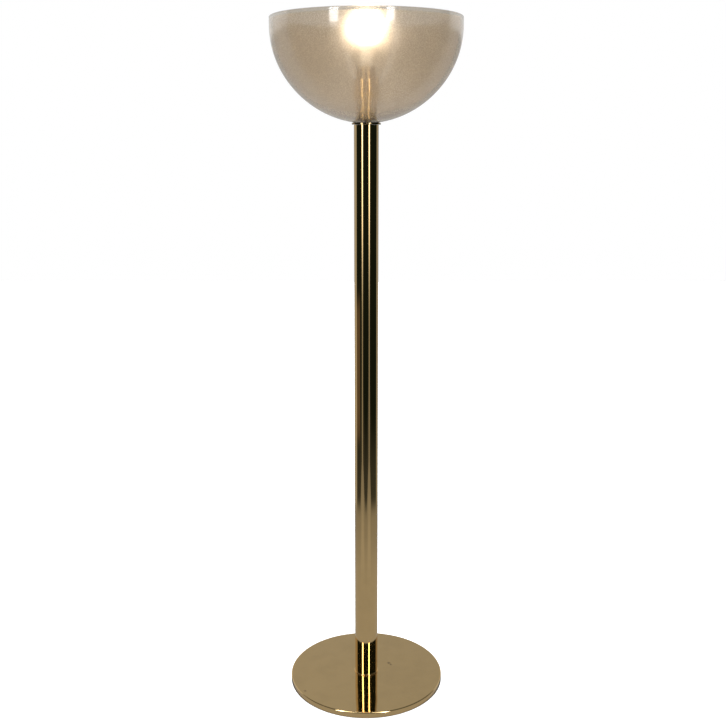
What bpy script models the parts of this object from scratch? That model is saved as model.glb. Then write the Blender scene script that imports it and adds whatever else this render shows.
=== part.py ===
"""Torchiere floor lamp: a round weighted base, a brass column and a glass bowl that throws its light up.

Metres, +Z up. The origin is on the floor at the middle of the base.
"""

import math

import bmesh
import bpy
from mathutils import Vector

# Driving dimensions
GAP = 0.0003  # air left between two pieces that touch
MERGE_DISTANCE = 0.000001
BASE_RADIUS = 0.2012
BASE_TOP = 0.0175
BASE_EDGE_RADIUS = 0.0030
COVER_WALL = 0.0015
FELT_THICKNESS = 0.0020
COLUMN_RADIUS = 0.0300
COLUMN_WALL = 0.0015
COLUMN_TOP = 1.4580
FOOT_RING_RADIUS = 0.0315
FOOT_RING_HEIGHT = 0.0025
ROD_RADIUS = 0.0050
ROD_BORE = 0.0038
ROD_BOTTOM = 0.0070
ROD_TOP = 1.5340
BOWL_RADIUS = 0.2291
BOWL_DEPTH = 0.2205  # from the widest level down to the bottom
BOWL_WIDEST = 1.6818
BOWL_RIM = 1.7060
BOWL_ROUNDNESS = 1.943  # 2 is a true ellipse, less is a little fuller low down
BOWL_WALL = 0.0060
BOWL_HOLE = 0.0120
SEAT_RADIUS = 0.0350
NECK_RADIUS = 0.0260
NECK_TOP = 1.5140
FLANGE_RADIUS = 0.0350
FLANGE_TOP = 1.5173
SLEEVE_RADIUS = 0.0300
SLEEVE_TOP = 1.5648
SLEEVE_WALL = 0.0012
BULB_TIP = 1.5600
BULB_RADIUS = 0.0400
BULB_CENTRE = 1.6800
THREAD_PITCH = 0.003629  # the 27 mm Edison thread
THREAD_DEPTH = 0.0011
BULB_THREAD_RADIUS = 0.01205  # at the root of the thread
THREAD_CLEARANCE = 0.0004
LEAD_RADIUS = 0.0011
NUT_ACROSS_FLATS = 0.0160
NUT_HEIGHT = 0.0045
POLE_SPACING = 0.0085  # between the poles of the terminal block
BLOCK_Y = 0.0580  # middle of the terminal block
BLOCK_SIZE = (0.0260, 0.0160, 0.0080)
CORD_INLET_Z = 0.0085
CORD_INLET_BORE = 0.0032

for old in list(bpy.data.objects):
    bpy.data.objects.remove(old, do_unlink=True)

lamp = bpy.data.collections.new("torchiere_floor_lamp")
cutters = bpy.data.collections.new("cutters")
for collection in (lamp, cutters):
    bpy.context.scene.collection.children.link(collection)


def finish(name, colour, metallic, roughness):
    """A material with one plain finish."""
    material = bpy.data.materials.new(name)
    material.use_nodes = True
    shader = material.node_tree.nodes["Principled BSDF"]
    shader.inputs["Base Color"].default_value = (*colour, 1.0)
    shader.inputs["Metallic"].default_value = metallic
    shader.inputs["Roughness"].default_value = roughness
    material.diffuse_color = (*colour, 1.0)
    return material


BRASS = finish("polished_brass", (0.62, 0.47, 0.22), 1.0, 0.12)
DARK_BRASS = finish("aged_brass", (0.30, 0.22, 0.12), 1.0, 0.25)
STEEL = finish("zinc_plated_steel", (0.55, 0.55, 0.53), 1.0, 0.35)
IRON = finish("cast_iron", (0.06, 0.06, 0.06), 0.6, 0.7)
FELT = finish("black_felt", (0.02, 0.02, 0.02), 0.0, 0.95)
RUBBER = finish("black_rubber", (0.02, 0.02, 0.02), 0.0, 0.7)
GLASS = finish("champagne_glass", (0.60, 0.50, 0.40), 0.0, 0.2)
PORCELAIN = finish("white_porcelain", (0.85, 0.84, 0.80), 0.0, 0.2)
OPAL = finish("frosted_glass", (0.95, 0.93, 0.88), 0.0, 0.5)
CLEAR = finish("clear_glass", (0.80, 0.82, 0.82), 0.0, 0.05)
PLASTIC = finish("black_plastic", (0.03, 0.03, 0.03), 0.0, 0.5)
TUNGSTEN = finish("tungsten", (0.20, 0.20, 0.20), 1.0, 0.4)
SOLDER = finish("solder", (0.65, 0.65, 0.66), 1.0, 0.3)
INSULATION = {
    "live": finish("brown_insulation", (0.20, 0.08, 0.03), 0.0, 0.5),
    "neutral": finish("blue_insulation", (0.03, 0.10, 0.40), 0.0, 0.5),
    "earth": finish("green_insulation", (0.10, 0.35, 0.05), 0.0, 0.5),
}


def place(name, data, material, collection=lamp):
    """Adds an object with this data, in the lamp or among the cutters."""
    thing = bpy.data.objects.new(name, data)
    collection.objects.link(thing)
    if material:
        data.materials.append(material)
    if collection is cutters:
        thing.hide_render = True
        thing.display_type = "WIRE"
    return thing


def smooth(thing, angle=35):
    thing.data.shade_smooth()
    thing.data.set_sharp_from_angle(angle=math.radians(angle))


def solid(thing):
    """The object's mesh with its modifiers applied, so that later steps work on plain faces."""
    graph = bpy.context.evaluated_depsgraph_get()
    mesh = bpy.data.meshes.new_from_object(thing.evaluated_get(graph))
    thing.modifiers.clear()
    thing.data = mesh
    return thing


def turned(name, profile, material, steps=32, collection=lamp):
    """A turned piece. The profile (radius, height) runs down its outer side. One that starts and ends on the
    axis is a solid, and any other closes on itself and makes a ring."""
    mesh = bpy.data.meshes.new(name)
    points = [(radius, 0.0, height) for radius, height in profile]
    edges = [(i, i + 1) for i in range(len(points) - 1)]
    if profile[0][0] > 0 or profile[-1][0] > 0:
        edges.append((len(points) - 1, 0))
    mesh.from_pydata(points, edges, [])
    thing = place(name, mesh, material, collection)
    screw = thing.modifiers.new("turn", "SCREW")
    screw.axis = "Z"
    screw.angle = math.tau
    screw.steps = screw.render_steps = steps
    screw.use_merge_vertices = True
    screw.merge_threshold = MERGE_DISTANCE
    screw.use_normal_calculate = False
    solid(thing)
    if collection is lamp:
        smooth(thing)
    return thing


def ring(name, inner, outer, low, high, material, steps=32, collection=lamp):
    """A plain washer or tube."""
    profile = [(outer, high), (outer, low), (inner, low), (inner, high)]
    return turned(name, profile, material, steps, collection)


def disc(name, radius, low, high, material, steps=32, collection=lamp):
    """A plain round bar or plate."""
    return turned(name, [(0, high), (radius, high), (radius, low), (0, low)], material, steps, collection)


def cut(thing, cutter):
    """Takes the cutter's shape out of the object."""
    boolean = thing.modifiers.new(cutter.name, "BOOLEAN")
    boolean.operation = "DIFFERENCE"
    boolean.solver = "EXACT"
    boolean.object = cutter


def block(name, size, centre, material=None, collection=cutters):
    """A box with its middle at a point."""
    mesh = bpy.data.meshes.new(name)
    cage = bmesh.new()
    bmesh.ops.create_cube(cage, size=1.0)
    bmesh.ops.scale(cage, vec=size, verts=cage.verts)
    cage.to_mesh(mesh)
    cage.free()
    thing = place(name, mesh, material, collection)
    thing.location = centre
    return thing


def bar(name, radius, length, centre, axis="Z", material=None, sides=12, collection=cutters):
    """A round bar with its middle at a point, along one axis."""
    mesh = bpy.data.meshes.new(name)
    cage = bmesh.new()
    bmesh.ops.create_cone(cage, cap_ends=True, segments=sides, radius1=radius, radius2=radius, depth=length)
    cage.to_mesh(mesh)
    cage.free()
    thing = place(name, mesh, material, collection)
    thing.location = centre
    thing.rotation_euler = {"X": (0, math.pi / 2, 0), "Y": (math.pi / 2, 0, 0), "Z": (0, 0, 0)}[axis]
    return thing


def nut(name, low, high, material):
    """A hexagon nut on the tie rod."""
    corner = NUT_ACROSS_FLATS / math.sqrt(3)
    piece = bar(name, corner, high - low, (0, 0, (low + high) / 2), "Z", material, 6, lamp)
    cut(piece, bar(name + "_bore", ROD_RADIUS + GAP, 2 * (high - low), piece.location, sides=24))


def arc(middle, radius, start, end, count):
    """Points along an arc, in degrees from +X, as (radius, height) pairs."""
    turns = [math.radians(start + (end - start) * i / count) for i in range(count + 1)]
    return [(middle[0] + radius * math.cos(t), middle[1] + radius * math.sin(t)) for t in turns]


def lead(name, points, material):
    """An insulated lead along its route."""
    curve = bpy.data.curves.new(name, "CURVE")
    curve.dimensions = "3D"
    curve.bevel_depth = LEAD_RADIUS
    curve.bevel_resolution = 1
    curve.use_fill_caps = True
    line = curve.splines.new("POLY")
    line.points.add(len(points) - 1)
    for point, place_on_route in zip(line.points, points):
        point.co = (*place_on_route, 1.0)
    return place(name, curve, material)


# Base: a felt pad, a cast weight hollowed underneath for the nut and the terminals, and a brass cover.
FELT_RADIUS = BASE_RADIUS - 0.0042
WEIGHT_RADIUS = BASE_RADIUS - COVER_WALL - 0.0005
WEIGHT_LOW = FELT_THICKNESS + GAP
WEIGHT_HIGH = BASE_TOP - COVER_WALL - GAP
WEIGHT_CHAMFER = 0.0030
NUT_POCKET_RADIUS = 0.0160
NUT_POCKET_TOP = 0.0130
TERMINAL_POCKET = (0.044, 0.046)
CHANNEL_TOP = 0.0120
CHANNEL_WIDTH = 0.0150
CHANNEL_LENGTH = 0.2150
ROD_HOLE = ROD_RADIUS + GAP
INLET_HOLE = 0.0043
INLET_HOLE_LENGTH = 0.0260

disc("base_felt", FELT_RADIUS, 0, FELT_THICKNESS, FELT, 48)

weight = turned(
    "base_weight",
    [
        (WEIGHT_RADIUS - WEIGHT_CHAMFER, WEIGHT_HIGH),
        (WEIGHT_RADIUS, WEIGHT_HIGH - WEIGHT_CHAMFER),
        (WEIGHT_RADIUS, WEIGHT_LOW),
        (ROD_HOLE, WEIGHT_LOW),
        (ROD_HOLE, WEIGHT_HIGH),
    ],
    IRON,
    64,
)
pocket_depth = 2 * (NUT_POCKET_TOP - WEIGHT_LOW)
channel_size = (CHANNEL_WIDTH, CHANNEL_LENGTH, 2 * (CHANNEL_TOP - WEIGHT_LOW))
inlet = (0, BASE_RADIUS, CORD_INLET_Z)
cut(weight, bar("nut_pocket", NUT_POCKET_RADIUS, pocket_depth, (0, 0, WEIGHT_LOW), sides=24))
cut(weight, block("terminal_pocket", (*TERMINAL_POCKET, pocket_depth), (0, BLOCK_Y, WEIGHT_LOW)))
cut(weight, bar("gland_seat", INLET_HOLE, INLET_HOLE_LENGTH, inlet, "Y", sides=16))
cut(weight, block("lead_channel", channel_size, (0, CHANNEL_LENGTH / 2, WEIGHT_LOW)))

cover_inside = BASE_RADIUS - COVER_WALL
inner_edge = BASE_EDGE_RADIUS - COVER_WALL
cover = turned(
    "base_cover",
    [(ROD_HOLE, BASE_TOP)]
    + arc((BASE_RADIUS - BASE_EDGE_RADIUS, BASE_TOP - BASE_EDGE_RADIUS), BASE_EDGE_RADIUS, 90, 0, 4)
    + [(BASE_RADIUS, FELT_THICKNESS), (cover_inside, FELT_THICKNESS)]
    + arc((cover_inside - inner_edge, BASE_TOP - BASE_EDGE_RADIUS), inner_edge, 0, 90, 1)
    + [(ROD_HOLE, BASE_TOP - COVER_WALL)],
    BRASS,
    64,
)
cut(cover, bar("inlet_hole", INLET_HOLE, INLET_HOLE_LENGTH, inlet, "Y", sides=16))

# Cord gland: a plastic bush through the rear edge of the cover, with its flange outside.
GLAND_RADIUS = 0.0040
GLAND_FLANGE = 0.0052
GLAND_INSIDE = 0.0120
GLAND_OUTSIDE = 0.0018
GLAND_CHAMFER = 0.0006
gland = turned(
    "cord_gland",
    [
        (CORD_INLET_BORE + GLAND_CHAMFER, BASE_RADIUS + GLAND_OUTSIDE),
        (GLAND_FLANGE - GLAND_CHAMFER, BASE_RADIUS + GLAND_OUTSIDE),
        (GLAND_FLANGE, BASE_RADIUS + GLAND_OUTSIDE - GLAND_CHAMFER),
        (GLAND_FLANGE, BASE_RADIUS + GAP),
        (GLAND_RADIUS, BASE_RADIUS + GAP),
        (GLAND_RADIUS, BASE_RADIUS - GLAND_INSIDE),
        (CORD_INLET_BORE, BASE_RADIUS - GLAND_INSIDE),
        (CORD_INLET_BORE, BASE_RADIUS + GLAND_OUTSIDE - GLAND_CHAMFER),
    ],
    PLASTIC,
    16,
)
gland.rotation_euler = (-math.pi / 2, 0, 0)
gland.location = (0, 0, CORD_INLET_Z)

# Terminal block: a plastic strip with three barrels, each with a screw for the mains side and one for the
# lamp side, held to the weight by one screw.
BLOCK_LOW = WEIGHT_LOW + GAP
BLOCK_HIGH = BLOCK_LOW + BLOCK_SIZE[2]
BARREL_Z = (BLOCK_LOW + BLOCK_HIGH) / 2
BARREL_RADIUS = 0.0024
BARREL_BORE = 0.0013
BARREL_LENGTH = 0.0140
CLAMP_SCREW_RADIUS = 0.0012
CLAMP_SCREW_LENGTH = 0.0016
CLAMP_SCREW_WAY = 0.0019
CLAMP_SCREW_Y = 0.0042  # from the middle of the block
FIXING_SCREW_RADIUS = 0.0010
FIXING_SCREW_REACH = 0.0040  # into the weight
FIXING_X = POLE_SPACING / 2
fixing_top = BLOCK_HIGH + FIXING_SCREW_REACH
tap_length = 2 * (BARREL_Z - BLOCK_LOW - 0.0005)
terminal_block = block("terminal_block", BLOCK_SIZE, (0, BLOCK_Y, BARREL_Z), PLASTIC, lamp)
for drilled in (terminal_block, weight):
    hole = bar(
        drilled.name + "_fixing_hole",
        FIXING_SCREW_RADIUS + GAP,
        fixing_top - WEIGHT_LOW + 2 * GAP,
        (FIXING_X, BLOCK_Y, (fixing_top + WEIGHT_LOW) / 2),
    )
    cut(drilled, hole)
disc(
    "block_fixing_screw", FIXING_SCREW_RADIUS, BLOCK_LOW - GAP, fixing_top, STEEL, 12
).location = (FIXING_X, BLOCK_Y, 0)
for pole, pole_x in (("live", -POLE_SPACING), ("earth", 0.0), ("neutral", POLE_SPACING)):
    middle = (pole_x, BLOCK_Y, BARREL_Z)
    cut(terminal_block, bar(pole + "_bore", BARREL_RADIUS + GAP, 2 * BLOCK_SIZE[1], middle, "Y"))
    barrel = bar("terminal_barrel_" + pole, BARREL_RADIUS, BARREL_LENGTH, middle, "Y", BRASS, 12, lamp)
    cut(barrel, bar(pole + "_wire_hole", BARREL_BORE, 2 * BARREL_LENGTH, middle, "Y", sides=8))
    for side, offset in (("mains", CLAMP_SCREW_Y), ("lamp", -CLAMP_SCREW_Y)):
        foot = Vector((pole_x, BLOCK_Y + offset, BLOCK_LOW))
        cut(barrel, bar(f"{pole}_{side}_tap", CLAMP_SCREW_RADIUS + GAP, tap_length, foot, sides=8))
        cut(terminal_block, bar(f"{pole}_{side}_way", CLAMP_SCREW_WAY, BLOCK_SIZE[2] / 2, foot, sides=8))
        screw_middle = foot + Vector((0, 0, BLOCK_SIZE[2] / 2 - BARREL_BORE - CLAMP_SCREW_LENGTH / 2 - GAP))
        screw_name = f"clamp_screw_{pole}_{side}"
        bar(screw_name, CLAMP_SCREW_RADIUS, CLAMP_SCREW_LENGTH, screw_middle, "Z", STEEL, 8, lamp)

# Earth: a tag and a screw in the roof of the terminal pocket, and the lead that joins them to the block.
EARTH_X, EARTH_Y = 0.0165, 0.0400
EARTH_TAP_RADIUS = 0.0018
EARTH_SCREW_RADIUS = 0.0015
EARTH_HEAD_RADIUS = 0.0031
EARTH_HEAD_HEIGHT = 0.0020
EARTH_SCREW_REACH = 0.0016  # into the weight
TAG_RADIUS = 0.0036
TAG_THICKNESS = 0.0008
earth_tap = bar("earth_tap", EARTH_TAP_RADIUS, 0.0040, (EARTH_X, EARTH_Y, NUT_POCKET_TOP))
cut(weight, earth_tap)
tag_low = NUT_POCKET_TOP - GAP - TAG_THICKNESS
earth_tag = ring("earth_tag", EARTH_TAP_RADIUS, TAG_RADIUS, tag_low, NUT_POCKET_TOP - GAP, BRASS, 16)
head_top = tag_low - GAP
earth_screw = turned(
    "earth_screw",
    [
        (0, NUT_POCKET_TOP + EARTH_SCREW_REACH),
        (EARTH_SCREW_RADIUS, NUT_POCKET_TOP + EARTH_SCREW_REACH),
        (EARTH_SCREW_RADIUS, head_top),
        (EARTH_HEAD_RADIUS, head_top),
        (EARTH_HEAD_RADIUS, head_top - EARTH_HEAD_HEIGHT),
        (0, head_top - EARTH_HEAD_HEIGHT),
    ],
    STEEL,
    16,
)
for piece in (earth_tag, earth_screw):
    piece.location = (EARTH_X, EARTH_Y, 0)

# Tie rod: a hollow threaded rod that pulls base, column, bowl and lamp holder together. Nut and washer below.
BOTTOM_WASHER_RADIUS = 0.0130
BOTTOM_WASHER_LOW = NUT_POCKET_TOP - GAP - 0.0014
BOTTOM_NUT_LOW = 0.0075
ring("bottom_washer", ROD_HOLE, BOTTOM_WASHER_RADIUS, BOTTOM_WASHER_LOW, NUT_POCKET_TOP - GAP, STEEL, 24)
nut("bottom_nut", BOTTOM_NUT_LOW, BOTTOM_WASHER_LOW - GAP, STEEL)
ring("tie_rod", ROD_BORE, ROD_RADIUS, ROD_BOTTOM, ROD_TOP, STEEL, 16)

# Column: a foot ring on the cover, the brass tube, and a turned plug in each end of it.
FOOT_LOW = BASE_TOP + GAP
TUBE_LOW = FOOT_LOW + FOOT_RING_HEIGHT + GAP
PLUG_HEIGHT = 0.0120
TUBE_BORE = COLUMN_RADIUS - COLUMN_WALL
foot_round = FOOT_RING_HEIGHT / 2
turned(
    "foot_ring",
    [(ROD_HOLE, FOOT_LOW + FOOT_RING_HEIGHT)]
    + arc((FOOT_RING_RADIUS - foot_round, FOOT_LOW + foot_round), foot_round, 90, -90, 4)
    + [(ROD_HOLE, FOOT_LOW)],
    BRASS,
)
ring("column_foot_plug", ROD_HOLE, TUBE_BORE - GAP, TUBE_LOW, TUBE_LOW + PLUG_HEIGHT, STEEL)
ring("column_tube", TUBE_BORE, COLUMN_RADIUS, TUBE_LOW, COLUMN_TOP, BRASS, 64)
ring("column_top_plug", ROD_HOLE, TUBE_BORE - GAP, COLUMN_TOP - PLUG_HEIGHT, COLUMN_TOP, STEEL)


# Bowl: thick cased glass, open at the top, with a hole in the bottom for the rod.
def bowl_height(radius, inset=0.0):
    """The height of the bowl's outer surface at a radius, or of a surface inset from it."""
    across = min(radius / (BOWL_RADIUS - inset), 1.0)
    return BOWL_WIDEST - (BOWL_DEPTH - inset) * (1 - across**BOWL_ROUNDNESS) ** (1 / BOWL_ROUNDNESS)


CROWDING = 1.4  # how much closer together the points of the bowl's side are near its hole


def bowl_side(inset, count):
    """Points up the bowl's side from the hole to the widest level."""
    first = math.asin((BOWL_HOLE / (BOWL_RADIUS - inset)) ** (BOWL_ROUNDNESS / 2))
    side = []
    for i in range(count + 1):
        turn = first + (math.pi / 2 - first) * (i / count) ** CROWDING
        radius = (BOWL_RADIUS - inset) * math.sin(turn) ** (2 / BOWL_ROUNDNESS)
        height = BOWL_WIDEST - (BOWL_DEPTH - inset) * max(math.cos(turn), 0) ** (2 / BOWL_ROUNDNESS)
        side.append((radius, height))
    return side


RIM_ROUND = BOWL_WALL / 2
turned(
    "glass_bowl",
    arc((BOWL_RADIUS - RIM_ROUND, BOWL_RIM - RIM_ROUND), RIM_ROUND, 90, 0, 2)
    + bowl_side(0, 10)[::-1]
    + bowl_side(BOWL_WALL, 9)
    + arc((BOWL_RADIUS - RIM_ROUND, BOWL_RIM - RIM_ROUND), RIM_ROUND, 180, 135, 1),
    GLASS,
    48,
)

# Bowl mount: a seat ring and a gasket under the glass, a gasket and a washer over it, and one nut.
GASKET = 0.0012
UPPER_GASKET_RADIUS = 0.0270
UPPER_GASKET_BORE = 0.0060
WASHER_THICKNESS = 0.0020
turned(
    "seat_ring",
    [(SEAT_RADIUS, COLUMN_TOP + GAP), (ROD_HOLE, COLUMN_TOP + GAP)]
    + [(radius, bowl_height(radius) - 2 * GAP - GASKET) for radius in (ROD_HOLE, 0.0190, SEAT_RADIUS)],
    DARK_BRASS,
)
gasket_line = [0.0320, 0.0225, 0.0125]
turned(
    "lower_gasket",
    [(radius, bowl_height(radius) - GAP - GASKET) for radius in gasket_line]
    + [(radius, bowl_height(radius) - GAP) for radius in gasket_line[::-1]],
    RUBBER,
)
upper_line = [UPPER_GASKET_RADIUS, 0.0180, UPPER_GASKET_BORE]
UPPER_GASKET_TOP = bowl_height(NECK_RADIUS, BOWL_WALL) + GASKET + 2 * GAP
turned(
    "upper_gasket",
    [(UPPER_GASKET_RADIUS, UPPER_GASKET_TOP)]
    + [(radius, bowl_height(radius, BOWL_WALL) + 2 * GAP) for radius in upper_line]
    + [(UPPER_GASKET_BORE, UPPER_GASKET_TOP)],
    RUBBER,
)
NECK_LOW = UPPER_GASKET_TOP + GAP
NECK_BORE = NECK_RADIUS - SLEEVE_WALL
WASHER_TOP = NECK_LOW + WASHER_THICKNESS
ring("clamp_washer", ROD_HOLE, NECK_BORE - GAP, NECK_LOW, WASHER_TOP, STEEL)
nut("bowl_nut", WASHER_TOP + GAP, WASHER_TOP + GAP + NUT_HEIGHT, STEEL)
ring("neck_tube", NECK_BORE, NECK_RADIUS, NECK_LOW, NECK_TOP, BRASS)

# Socket sleeve: a brass cup standing on a flange ring, which hides the lower half of the lamp holder.
FLANGE_LOW = NECK_TOP + GAP
FLANGE_ROUND = (FLANGE_TOP - FLANGE_LOW) / 2
turned(
    "flange_ring",
    [(ROD_HOLE, FLANGE_TOP)]
    + arc((FLANGE_RADIUS - FLANGE_ROUND, FLANGE_LOW + FLANGE_ROUND), FLANGE_ROUND, 90, -90, 4)
    + [(ROD_HOLE, FLANGE_LOW)],
    DARK_BRASS,
)
SLEEVE_LOW = FLANGE_TOP + GAP
SLEEVE_CHAMFER = 0.0008
turned(
    "socket_sleeve",
    [
        (SLEEVE_RADIUS, SLEEVE_TOP),
        (SLEEVE_RADIUS, SLEEVE_LOW + SLEEVE_CHAMFER),
        (SLEEVE_RADIUS - SLEEVE_CHAMFER, SLEEVE_LOW),
        (ROD_HOLE, SLEEVE_LOW),
        (ROD_HOLE, SLEEVE_LOW + SLEEVE_WALL),
        (SLEEVE_RADIUS - SLEEVE_WALL, SLEEVE_LOW + SLEEVE_WALL),
        (SLEEVE_RADIUS - SLEEVE_WALL, SLEEVE_TOP),
    ],
    BRASS,
)
SLEEVE_NUT_LOW = SLEEVE_LOW + SLEEVE_WALL + GAP
nut("sleeve_nut", SLEEVE_NUT_LOW, SLEEVE_NUT_LOW + NUT_HEIGHT, STEEL)

# Lamp holder: a metal cap on the rod, a porcelain insert, a skirt, the threaded shell and two contacts.
HOLDER_RADIUS = 0.0235
HOLDER_WALL = 0.0012
HOLDER_LOW = SLEEVE_NUT_LOW + NUT_HEIGHT + GAP
HOLDER_SPLIT = 1.5415
HOLDER_TOP = 1.5930
CAP_ROUND = 0.0080
HUB_RADIUS = 0.0080
HUB_TOP = HOLDER_LOW + 0.0080
cap_corner = (HOLDER_RADIUS - CAP_ROUND, HOLDER_SPLIT - 0.0060)
turned(
    "holder_cap",
    [(HOLDER_RADIUS, HOLDER_SPLIT - GAP)]
    + arc(cap_corner, CAP_ROUND, 0, -70, 3)
    + [
        (HUB_RADIUS + 0.0015, HOLDER_LOW),
        (ROD_HOLE, HOLDER_LOW),
        (ROD_HOLE, HUB_TOP),
        (HUB_RADIUS, HUB_TOP),
        (HUB_RADIUS, HOLDER_LOW + 2.5 * HOLDER_WALL),
        (HUB_RADIUS + 0.0070, HOLDER_LOW + 3.5 * HOLDER_WALL),
    ]
    + arc(cap_corner, CAP_ROUND - HOLDER_WALL, -60, 0, 2)
    + [(HOLDER_RADIUS - HOLDER_WALL, HOLDER_SPLIT - GAP)],
    BRASS,
)
LIP_BORE = 0.0186
LIP_ROUND = 0.0018
turned(
    "holder_skirt",
    arc((HOLDER_RADIUS - LIP_ROUND, HOLDER_TOP - LIP_ROUND), LIP_ROUND, 90, 0, 2)
    + [
        (HOLDER_RADIUS, HOLDER_SPLIT),
        (HOLDER_RADIUS - HOLDER_WALL, HOLDER_SPLIT),
        (HOLDER_RADIUS - HOLDER_WALL, HOLDER_TOP - 1.8 * HOLDER_WALL),
        (LIP_BORE, HOLDER_TOP - HOLDER_WALL),
        (LIP_BORE, HOLDER_TOP),
    ],
    BRASS,
)
INSERT_RADIUS = HOLDER_RADIUS - HOLDER_WALL - GAP
INSERT_FLOOR = 1.5560
INSERT_TOP = 1.5885
SHELL_OUTSIDE = 0.0149
insert = disc("holder_insert", INSERT_RADIUS, HOLDER_SPLIT, INSERT_TOP, PORCELAIN)
well_depth = 2 * (INSERT_TOP - INSERT_FLOOR)
cut(insert, bar("lamp_well", SHELL_OUTSIDE + GAP, well_depth, (0, 0, INSERT_TOP), sides=32))
SCREW_Z = 1.5470
LEG_X = 0.0085
STRIP_WIDTH = 0.0060
STRIP_THICKNESS = 0.0006
NOTCH_TOP = SCREW_Z + 0.0035
notch_size = (0.0160, 0.0090, 2 * (NOTCH_TOP - HOLDER_SPLIT))
notch_x = LEG_X - 0.0012 + notch_size[0] / 2
slot_size = (0.0022, STRIP_WIDTH + 0.0008, 2 * (INSERT_FLOOR - HOLDER_SPLIT + GAP))
for side, sign in (("live", -1), ("neutral", 1)):
    cut(insert, block(side + "_notch", notch_size, (sign * notch_x, 0, HOLDER_SPLIT)))
    cut(insert, block(side + "_slot", slot_size, (sign * LEG_X, 0, INSERT_FLOOR)))


def strip(name, line, material):
    """A bent contact strip: a line in the XZ plane, widened along Y and given its thickness."""
    mesh = bpy.data.meshes.new(name)
    near = [(x, -STRIP_WIDTH / 2, z) for x, z in line]
    far = [(x, STRIP_WIDTH / 2, z) for x, z in line]
    count = len(line)
    faces = [(i, i + 1, count + i + 1, count + i) for i in range(count - 1)]
    mesh.from_pydata(near + far, [], faces)
    thing = place(name, mesh, material)
    thickness = thing.modifiers.new("thickness", "SOLIDIFY")
    thickness.thickness = STRIP_THICKNESS
    thickness.offset = 0
    return thing


HALF_STRIP = STRIP_THICKNESS / 2
LEG_LOW = SCREW_Z - 0.0030
strip(
    "centre_contact",
    [
        (-LEG_X, LEG_LOW),
        (-LEG_X, INSERT_FLOOR + GAP + HALF_STRIP),
        (-0.0035, INSERT_FLOOR + 0.0022),
        (0.0, BULB_TIP - GAP - HALF_STRIP),
        (0.0035, INSERT_FLOOR + 0.0026),
    ],
    BRASS,
)
SHELL_LOW = 1.5640
SHELL_HIGH = 1.5850
TAB_X = SHELL_OUTSIDE - 0.0008
strip(
    "side_contact",
    [
        (LEG_X, LEG_LOW),
        (LEG_X, INSERT_FLOOR + GAP + HALF_STRIP),
        (TAB_X, INSERT_FLOOR + GAP + HALF_STRIP),
        (TAB_X, SHELL_LOW - GAP),
    ],
    BRASS,
)
SCREW_HEAD_RADIUS = 0.0028
SCREW_SHANK_RADIUS = 0.0015
SCREW_SHANK = 0.0035
SCREW_LENGTH = 0.0055
for side, sign in (("live", -1), ("neutral", 1)):
    terminal_screw = turned(
        "terminal_screw_" + side,
        [
            (0, SCREW_LENGTH),
            (SCREW_HEAD_RADIUS, SCREW_LENGTH),
            (SCREW_HEAD_RADIUS, SCREW_SHANK),
            (SCREW_SHANK_RADIUS, SCREW_SHANK),
            (SCREW_SHANK_RADIUS, 0),
            (0, 0),
        ],
        STEEL,
        16,
    )
    terminal_screw.rotation_euler = (0, sign * math.pi / 2, 0)
    terminal_screw.location = (sign * (LEG_X + HALF_STRIP + GAP), 0, SCREW_Z)


def threaded(thing, root, low, high, thread_radius):
    """Rolls the round Edison thread into the faces of a turned sleeve that lie at its root radius."""
    for vertex in thing.data.vertices:
        x, y, z = vertex.co
        radius = math.hypot(x, y)
        if abs(radius - root) > 0.0001 or not low < z < high:
            continue
        fade = min(1.0, (z - low) / THREAD_PITCH * 2, (high - z) / THREAD_PITCH * 2)
        wave = 0.5 + 0.5 * math.cos(math.tau * z / THREAD_PITCH - math.atan2(y, x))
        grown = thread_radius(fade, wave)
        vertex.co = (x * grown / radius, y * grown / radius, z)


def levels(low, high, parts_in_pitch=4):
    """Heights from low to high, close enough together to carry the thread."""
    count = round((high - low) / THREAD_PITCH * parts_in_pitch)
    return [low + (high - low) * i / count for i in range(count + 1)]


SHELL_CREST = BULB_THREAD_RADIUS + THREAD_CLEARANCE
shell = turned(
    "holder_shell",
    [(SHELL_OUTSIDE, SHELL_HIGH), (SHELL_OUTSIDE, SHELL_LOW)]
    + [(SHELL_CREST, level) for level in levels(SHELL_LOW, SHELL_HIGH)],
    BRASS,
    24,
)
threaded(
    shell,
    SHELL_CREST,
    SHELL_LOW - GAP,
    SHELL_HIGH + GAP,
    lambda fade, wave: SHELL_CREST + THREAD_DEPTH * (1 - fade * (1 - wave)),
)
smooth(shell, 60)

# Bulb: frosted glass, a stem with two wires and a filament, and a screw cap with an insulator and a solder
# tip. The tip is on the rising empty and the rest on the turning one, which sits on it.
bulb_rise = bpy.data.objects.new("bulb_rise", None)
bulb_turn = bpy.data.objects.new("bulb_turn", None)
for empty in (bulb_rise, bulb_turn):
    lamp.objects.link(empty)
bulb_turn.parent = bulb_rise

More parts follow.
